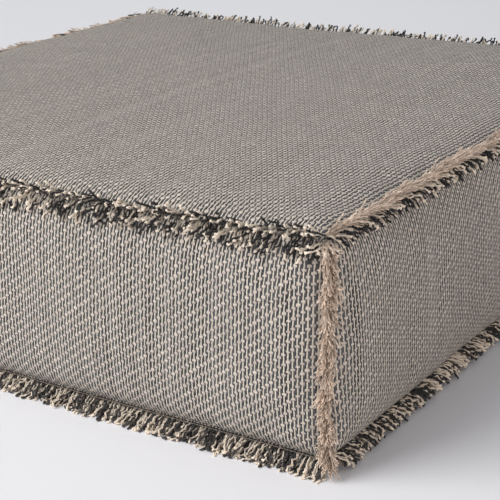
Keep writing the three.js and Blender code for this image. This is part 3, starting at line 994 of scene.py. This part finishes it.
def weft_piece(name, node, place, roots, first, last, length, seed, strands, wave):
    """Bundles of fine strands, one bundle a pick. Wave is the height of their crimp, and a flatter
    wave goes with strands that run more alike."""
    rng = np.random.default_rng(seed)
    count = len(place) * strands
    each = np.repeat(np.arange(len(place)), strands)
    spread = rng.normal(0, 1, (count, 3))
    starts = roots[each] + 0.7 * MM * spread
    stray = wave / WEFT_WAVE
    headings = unit(first[each] + 0.16 * stray * rng.normal(0, 1, (count, 3)))
    endings = unit(last[each] + 0.22 * stray * rng.normal(0, 1, (count, 3)))
    tuft = 1 + 0.18 * tufts(place, seed + 5, (0.009, 0.019, 0.031))[each]
    lengths = length * tuft * rng.uniform(0.6, 1.12, count)
    paths = grown(starts, headings, endings, lengths, WEFT_RINGS, wave, WEFT_CRIMP, rng)
    radius = WEFT_STRAND * rng.uniform(0.75, 1.2, count)
    tones = tone_of(WEFT_END, 0.34, rng, count)
    paths = kept_up(paths, radius[:, None])
    corded_piece(name, WEFT_CORD, paths, radius, tones, weft_yarn, "weft_ends", node)


def level_weft_fringe(name, node, side, height, angle, droop, brush, length, seed, wave, lift):
    """Loose weft along a level seam, brushed along it by a share of its length. Lift is how far
    above the seam the last pick still holds."""
    rng = np.random.default_rng(seed)
    place = even_places(-half, half, WEFT_PICK)
    count = len(place)
    lean = brush + (0.55 + 0.3 * abs(brush)) * tufts(place, seed + 1, (0.011, 0.024, 0.07))
    tilt = tufts(place, seed + 2, (0.012, 0.03, 0.08)) * 17 + rng.normal(0, 9, count)
    first = turned_up(side, 0.5 * lean, angle + 0.5 * tilt)
    last = turned_up(side, 1.5 * lean, angle + droop + tilt)
    roots = level_seam(side, height, place) - WEFT_ROOT * side_axes(side)[1]
    roots[:, 2] += rng.uniform(0.2, 1.0, count) * lift
    strands = THIN_BUNDLE if height < seam_mid or side == "left" else FULL_BUNDLE
    weft_piece(name, node, place, roots, first, last, length, seed, strands, wave)


for number, side in enumerate(SIDES):
    if side in ("right", "left"):
        seed = 2000 + 100 * number
        angle, brush, length, wave, lift = 20, 0.5, 12 * MM, WEFT_WAVE, 1.5 * MM
        if side == "right":
            angle, brush, length, wave, lift = 38, 2.4, 16.5 * MM, 0.45 * MM, 3.5 * MM
        level_weft_fringe(*fringe_names("top", side), side, seam_top,
                          angle, -40, brush, length, seed, wave, lift)
        level_weft_fringe(*fringe_names("bottom", side), side, seam_low,
                          -48, 8, 0.1 * brush, 7.5 * MM, seed + 10, WEFT_WAVE, -1.5 * MM)

# %% [markdown]
# At each upright seam both cloths fray into weft. The two fringes part like hair, one to each
# side, and hang down under their own weight until the lowest strands fan out on the floor. They
# swing from side to side up the seam, and at the near corner they lean to the left.

# %% Upright fringes
UPRIGHT_LENGTH = 15 * MM
UPRIGHT_WAVE = 0.55 * MM


def upright_root(corner, height):
    """Points of the upright seam at a side's right-hand end, its diagonal, and the side's axes."""
    side = SIDES[corner]
    along, outward = side_axes(side)
    diagonal = (along + outward) / math.sqrt(2)
    points = np.tile(half * (along + outward), (len(height), 1))
    points[:, 2] = height
    return points + seam_shift(points), diagonal, along, outward


def upright_fringe(name, node, corner, toward_next, seed):
    """Weft at the upright seam at a side's right-hand end, of its own cloth or the next side's."""
    rng = np.random.default_rng(seed)
    height = even_places(seam_low, seam_top, WEFT_PICK)
    count = len(height)
    roots, diagonal, along, outward = upright_root(corner, height)
    aside = along if toward_next else outward
    fall = np.array([0, 0, -1.0])
    tuft = tufts(height, seed + 1, (0.013, 0.023, 0.037))
    open_out = 0.95 + 0.5 * tuft + rng.normal(0, 0.14, count)
    share = (height - seam_low) / (seam_top - seam_low)
    swing = -0.35 * np.sin(2 * np.pi * share / 1.2 + 1.7 * corner) - (0.2 if corner == 0 else 0)
    swung = 0.7 * swing[:, None] * (along - outward) / math.sqrt(2)
    first = unit(diagonal + 0.55 * aside + 0.25 * fall + swung)
    last = (0.55 * diagonal + 0.35 * aside) * open_out[:, None]
    last = unit(last + fall * (0.62 - 0.35 * tuft)[:, None] + swung)
    shift = -aside if toward_next else aside
    roots = roots - 1.2 * MM * diagonal + 0.4 * MM * shift
    weft_piece(name, node, height, roots, first, last, UPRIGHT_LENGTH, seed, FULL_BUNDLE,
               UPRIGHT_WAVE)


for number, side in enumerate(SIDES):
    following = SIDES[(number + 1) % 4]
    seed = 3000 + 100 * number
    upright_fringe(*fringe_names(side, following), number, False, seed)
    upright_fringe(*fringe_names(following, side), number, True, seed + 10)

# %% [markdown]
# Between the two fringes of each seam runs the row of lockstitches that holds it. A stitch is a
# short cord whose ends dip into the cloth. It is laid like the yarns, along the same seam.

# %% Stitching
STITCH_PITCH = 4.0 * MM
STITCH_RINGS = 5
STITCH_CORD = short_cord(STITCH_RINGS, sides=6, tip=0.8)
SEAM_THREAD = 0.35 * MM
TOP_THREAD = 0.45 * MM
sewing_thread = frayed_yarn("sewing_thread", 2.0, 1.1, 0.05 * MM, 0.1)


def stitch_places(start, end):
    """Places of the rings of each stitch from start to end, and how far each ring stands up."""
    middles = even_places(start, end, STITCH_PITCH)
    share = np.linspace(-1, 1, STITCH_RINGS)
    stand = np.tile(1 - 1.6 * share**2, (len(middles), 1))
    return middles[:, None] + 0.44 * STITCH_PITCH * share[None, :], stand


def stitch_piece(name, paths, radius, tone, *nodes):
    rng = np.random.default_rng(len(name) + len(paths))
    tones = tone_of(tone, 0.1, rng, len(paths))
    thick = np.full(len(paths), radius)
    corded_piece(name, STITCH_CORD, paths, thick, tones, sewing_thread, "sewing_thread", *nodes)


THREAD_TONE = colour(150, 138, 126)
for number, side in enumerate(SIDES):
    along, outward = side_axes(side)
    for height, level_name in ((seam_top, "top"), (seam_low, "bottom")):
        place, stand = stitch_places(-half + 6 * MM, half - 6 * MM)
        points = level_seam(side, height, place.ravel()).reshape(*place.shape, 3)
        points = points + (0.7 * MM + 0.3 * MM * stand)[..., None] * outward
        stitch_piece(f"stitching_{level_name}_{side}", points, SEAM_THREAD, THREAD_TONE,
                     f"seam_thread_{level_name}_{side}")
    place, stand = stitch_places(seam_low + 1 * MM, seam_top - 1 * MM)
    points, diagonal, _, _ = upright_root(number, place.ravel())
    points = points.reshape(*place.shape, 3) + (0.5 * MM + 0.3 * MM * stand)[..., None] * diagonal
    following = SIDES[(number + 1) % 4]
    stitch_piece(f"stitching_{side}_{following}", points, SEAM_THREAD, THREAD_TONE,
                 f"seam_thread_{side}_{following}")

# %% [markdown]
# The pad inside is a slab of foam wrapped in wadding, in a thin white liner. Both soft layers
# follow the cover from inside: its own points are drawn in towards the middle, so a crease of the
# cover is a crease of the liner too. Behind the zip they give way to the slider's back.

# %% The pad's layers
DENT_DEEP = 2.6 * MM
DENT_HALF, DENT_HIGH = 250 * MM, 28 * MM
LINER_WEAVE = 5200.0


def drawn_in(gap_side, gap_level):
    """The cover's points, moved inward by one gap at the sides and another above and below."""
    points = np.zeros_like(cover)
    for face in FACES:
        points[cover_number[face]] = finished(face).reshape(-1, 3)
    scale = np.array([1 - gap_side / half, 1 - gap_side / half, 1 - gap_level / rise])
    centre = np.array([0, 0, seam_mid])
    points = centre + (points - centre) * scale
    level_part = np.clip((DENT_HIGH - np.abs(points[:, 2] - seam_mid)) / (18 * MM), 0, 1)
    wide_part = np.clip((DENT_HALF - np.abs(points[:, 0])) / (15 * MM), 0, 1)
    at_back = points[:, 1] > 0.97 * half
    points[:, 1] -= np.where(at_back, DENT_DEEP * level_part * wide_part, 0)
    return points


cover_faces = np.concatenate([cover_number[face][quads[face]] for face in FACES])


def white_liner():
    p = Pattern("liner_cotton")
    x, y, z = p.split(p.place())
    one, two = (p.math("SINE", p.times(p.plus(axis, z), LINER_WEAVE)) for axis in (x, y))
    weave = p.times(one, two)
    tone = p.mix(p.noise(p.place(), 40.0, 4.0), colour(214, 210, 202), colour(240, 237, 230))
    return p.finish(tone, weave, 0.08 * MM, roughness=0.9, sheen=0.1)


def fluffy_wadding():
    p = Pattern("polyester_wadding")
    x, y, z = p.split(p.place())
    combed = p.vector(p.times(x, 0.25), y, p.times(z, 3.0))
    fibres = p.noise(combed, 900.0, 5.0, 0.7)
    tone = p.mix(fibres, colour(205, 205, 203), colour(248, 248, 246))
    return p.finish(tone, fibres, 0.6 * MM, roughness=0.95, sheen=0.25)


def open_foam():
    p = Pattern("open_cell_foam")
    cells = p.add("ShaderNodeTexVoronoi", feature="F1")
    p.plug(p.place(), cells.inputs["Vector"])
    cells.inputs["Scale"].default_value = 700.0
    tone = p.mix(cells.outputs["Distance"], colour(236, 222, 178), colour(205, 186, 140))
    return p.finish(tone, cells.outputs["Distance"], 0.5 * MM, roughness=0.95)


def finish_layer(piece, thickness, slot, *nodes):
    piece.data.polygons.foreach_set("use_smooth", [True] * len(piece.data.polygons))
    if thickness:
        wall = piece.modifiers.new("wall", "SOLIDIFY")
        wall.thickness = thickness
        wall.offset = -1
        apply_modifiers(piece)
    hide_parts(*nodes)
    print(piece.name, "has", len(piece.data.polygons), "faces")


liner_mesh = bpy.data.meshes.new("liner_bag")
liner_mesh.from_pydata(drawn_in(3.6 * MM, 3.3 * MM).tolist(), [], cover_faces.tolist())
liner_mesh.materials.append(white_liner())
finish_layer(new_piece("liner_bag", liner_mesh), 0.8 * MM, "liner_cloth",
             "liner_top", "liner_bottom", "liner_band")

# %% [markdown]
# The wadding fills what is left between the liner and the foam. Its outer skin is the cover drawn
# in once more. Its inner skin is a box just larger than the foam, from a cube whose faces are
# turned inward. The two skins together close it.

# %% The wadding and the foam
foam_low, foam_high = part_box("foam_core")


def foam_hollow(gap):
    """Corners and faces of the hollow that the foam lies in, its faces turned towards the foam."""
    deselect_all()
    bpy.ops.mesh.primitive_cube_add(size=1, location=(foam_low + foam_high) / 2)
    hollow = bpy.context.object
    hollow.dimensions = foam_high - foam_low + Vector((2 * gap, 2 * gap, 2 * gap))
    bpy.ops.object.transform_apply(location=True, scale=True)
    bpy.ops.object.mode_set(mode="EDIT")
    bpy.ops.mesh.select_all(action="SELECT")
    bpy.ops.mesh.subdivide(number_cuts=11)
    bpy.ops.mesh.flip_normals()
    bpy.ops.object.mode_set(mode="OBJECT")
    corners = [tuple(corner.co) for corner in hollow.data.vertices]
    faces = [tuple(face.vertices) for face in hollow.data.polygons]
    bpy.data.objects.remove(hollow)
    return corners, faces


hollow_corners, hollow_faces = foam_hollow(0.4 * MM)
skin = drawn_in(4.8 * MM, 4.7 * MM)
shifted = [tuple(number + len(skin) for number in face) for face in hollow_faces]
wadding_mesh = bpy.data.meshes.new("wadding_wrap")
wadding_mesh.from_pydata(skin.tolist() + hollow_corners, [], cover_faces.tolist() + shifted)
wadding_mesh.materials.append(fluffy_wadding())
finish_layer(new_piece("wadding_wrap", wadding_mesh), 0, "wadding",
             "wadding_top", "wadding_bottom", "wadding_band")


def refinish(node, material):
    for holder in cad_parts[node].material_slots:
        holder.material = material


refinish("foam_core", open_foam())

# %% [markdown]
# The zip lies in the slot of the back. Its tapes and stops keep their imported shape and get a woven
# and a metal finish.

# %% Zip materials


def zip_tape_weave():
    p = Pattern("zip_tape_twill")
    x, y, z = p.split(p.place())
    rib = p.math("SINE", p.scaled(z, 7000.0, p.times(x, 3500.0)))
    pick = p.math("SINE", p.times(x, 9000.0))
    height = p.scaled(pick, 0.4, rib)
    tone = p.mix(p.scaled(height, 0.3, 0.5), colour(52, 49, 47), colour(92, 87, 82))
    return p.finish(tone, height, 0.1 * MM, roughness=0.85, sheen=0.1)


def coil_nylon():
    p = Pattern("coil_nylon")
    tone = p.mix(p.noise(p.place(), 900.0, 3.0), colour(70, 67, 65), colour(108, 103, 98))
    return p.finish(tone, p.noise(p.place(), 3000.0), 0.03 * MM, roughness=0.42)


def worn_metal():
    p = Pattern("antique_zip_metal")
    x, y, z = p.split(p.place())
    worn = p.noise(p.place(), 260.0, 4.0, 0.6)
    drawn = p.noise(p.vector(p.times(x, 0.15), y, z), 4000.0, 2.0)
    tone = p.mix(p.step(worn, 0.45, 0.7), colour(150, 145, 138), colour(214, 208, 199))
    rough = p.scaled(worn, 0.25, 0.25)
    return p.finish(tone, drawn, 0.02 * MM, roughness=rough, metallic=1.0)


zip_metal = worn_metal()
tape_twill = zip_tape_weave()
for node in ("zip_tape_upper", "zip_tape_lower"):
    refinish(node, tape_twill)
for node in ("zip_stop_closed_end", "zip_stop_open_end"):
    refinish(node, zip_metal)

# %% [markdown]
# The zip's coils are nylon wire wound in flat turns. Each turn is laid like a cord.

# %% The zip's coils
COIL_PITCH = 1.4 * MM
COIL_WIRE = 0.32 * MM
WIRE_RINGS = 9
WIRE_CORD = short_cord(WIRE_RINGS, sides=5, tip=1.0)
wire_nylon = coil_nylon()


def coil_piece(name, node, head, late):
    """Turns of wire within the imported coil's box. Head says which way its heads point."""
    low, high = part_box(node)
    turns = int((high.x - low.x) / COIL_PITCH) - 1
    start = low.x + COIL_PITCH * (np.arange(turns) + late)
    angle = np.linspace(0, 2 * np.pi, WIRE_RINGS)
    paths = np.zeros((turns, WIRE_RINGS, 3))
    paths[..., 0] = start[:, None] + COIL_PITCH * angle / (2 * np.pi)
    deep = (high.y - low.y) / 2 - COIL_WIRE
    wide = (high.z - low.z) / 2 - COIL_WIRE
    paths[..., 1] = (low.y + high.y) / 2 + deep * np.sin(angle) * (1 - 0.2 * np.cos(angle))
    paths[..., 2] = (low.z + high.z) / 2 + head * wide * np.cos(angle)
    tones = np.ones((turns, 4))
    thick = np.full(turns, COIL_WIRE)
    corded_piece(name, WIRE_CORD, paths, thick, tones, wire_nylon, "zip_coil", node)


coil_piece("coil_turns_upper", "zip_coil_upper", -1, 0.25)
coil_piece("coil_turns_lower", "zip_coil_lower", 1, 0.75)

# %% [markdown]
# The cloth beside the zip is turned under and sewn down to the tape, so a row of stitches frames
# the slot.

# %% Topstitching round the zip


def topstitch_row(start, end, across_place, upright):
    """Stitches on the back's flat middle, along X at a height or along Z at a place."""
    place, stand = stitch_places(start, end)
    points = np.zeros((*place.shape, 3))
    points[..., 0] = across_place if upright else place
    points[..., 1] = half + bulge + 0.15 * MM + 0.35 * MM * stand
    points[..., 2] = place if upright else across_place
    return points


margin = SLOT_HALF + 2.6 * MM
row_end = ZIP_HALF + 3.2 * MM
rows = [
    topstitch_row(-row_end, row_end, seam_mid - margin, False),
    topstitch_row(-row_end, row_end, seam_mid + margin, False),
    topstitch_row(seam_mid - margin, seam_mid + margin, -row_end, True),
    topstitch_row(seam_mid - margin, seam_mid + margin, row_end, True),
]
stitch_piece("zip_topstitching", np.concatenate(rows), TOP_THREAD, colour(186, 172, 156))

# %% [markdown]
# The slider and its puller are cast metal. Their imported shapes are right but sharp, so each is a
# merged copy with its edges eased by a Bevel modifier. They ride on their own bodies.

# %% Slider and puller


def eased_copy(node, name, body, width):
    """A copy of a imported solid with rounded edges."""
    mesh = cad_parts[node].data.copy()
    mesh.name = name
    mesh.materials.clear()
    mesh.materials.append(zip_metal)
    piece = new_piece(name, mesh, body)
    deselect_all()
    piece.select_set(True)
    bpy.context.view_layer.objects.active = piece
    bpy.ops.object.mode_set(mode="EDIT")
    bpy.ops.mesh.select_all(action="SELECT")
    bpy.ops.mesh.remove_doubles(threshold=0.005 * MM)
    bpy.ops.mesh.dissolve_limited(angle_limit=math.radians(1))
    bpy.ops.object.mode_set(mode="OBJECT")
    ease = piece.modifiers.new("eased edges", "BEVEL")
    ease.width = width
    ease.segments = 3
    ease.limit_method = "ANGLE"
    ease.angle_limit = math.radians(35)
    apply_modifiers(piece)
    bpy.ops.object.shade_smooth_by_angle(angle=math.radians(30))
    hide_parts(node)
    print(name, len(piece.data.polygons), "faces")


eased_copy("zip_slider", "slider_body", "slider", 0.25 * MM)
eased_copy("zip_puller", "puller_tab", "puller", 0.3 * MM)

# %% [markdown]
# The floor is one large pale sheet, painted lighter towards the back as painted light. The main
# light is a big soft window, high to the front left, so the shadow falls softly to the right. Three
# dim cards lift the front, the right side and the far floor. A bright, slightly cool room fills in
# the rest.

# %% Floor and light


def pale_floor():
    p = Pattern("pale_floor")
    mottle = p.noise(p.place(), 6.0, 3.0)
    _, depth, _ = p.split(p.place())
    # Painted light: the floor's colour is lighter towards the back, standing in for more light
    # there.
    far = p.step(depth, 0.1, 1.6)
    tone = p.mix(far, colour(239, 239, 242), colour(254, 254, 255))
    tone = p.mix(p.times(mottle, 0.06), tone, colour(225, 225, 227))
    return p.finish(tone, p.noise(p.place(), 300.0), 0.02 * MM, roughness=0.7)


deselect_all()
bpy.ops.mesh.primitive_plane_add(size=12, location=(0, 0, 0))
floor = bpy.context.object
floor.name = "floor"
floor.data.materials.append(pale_floor())


def soft_light(name, place, aim, size, power, tint=(1, 1, 1)):
    """A rectangular area light. Place, aim and size are in metres, power in watts."""
    lamp = bpy.data.lights.new(name, "AREA")
    lamp.shape = "RECTANGLE"
    lamp.size, lamp.size_y = size
    lamp.energy = power
    lamp.color = tint
    holder = bpy.data.objects.new(name, lamp)
    bpy.context.collection.objects.link(holder)
    holder.location = place
    holder.rotation_euler = (Vector(aim) - Vector(place)).to_track_quat("-Z", "Y").to_euler()


soft_light("window", (-1.25, -2.0, 2.3), (0, 0, 0.05), (2.1, 2.1), 86)
soft_light("front_card", (-0.6, -2.4, 1.3), (0, -0.3, 0.0), (2.2, 1.4), 6)
soft_light("side_card", (2.1, -0.9, 0.32), (0.3, 0, 0.1), (1.4, 0.5), 9.8, (1.0, 0.89, 0.81))
soft_light("far_card", (-1.5, 2.3, 1.6), (-1.3, 2.1, 0.0), (1.8, 1.2), 5)

world = bpy.data.worlds.new("room")
world.use_nodes = True
background = world.node_tree.nodes["Background"]
background.inputs["Color"].default_value = (0.94, 0.955, 1.0, 1.0)
background.inputs["Strength"].default_value = 0.38
bpy.context.scene.world = world
bpy.context.scene.view_settings.view_transform = "Standard"
print("lights", [item.name for item in bpy.data.lights])
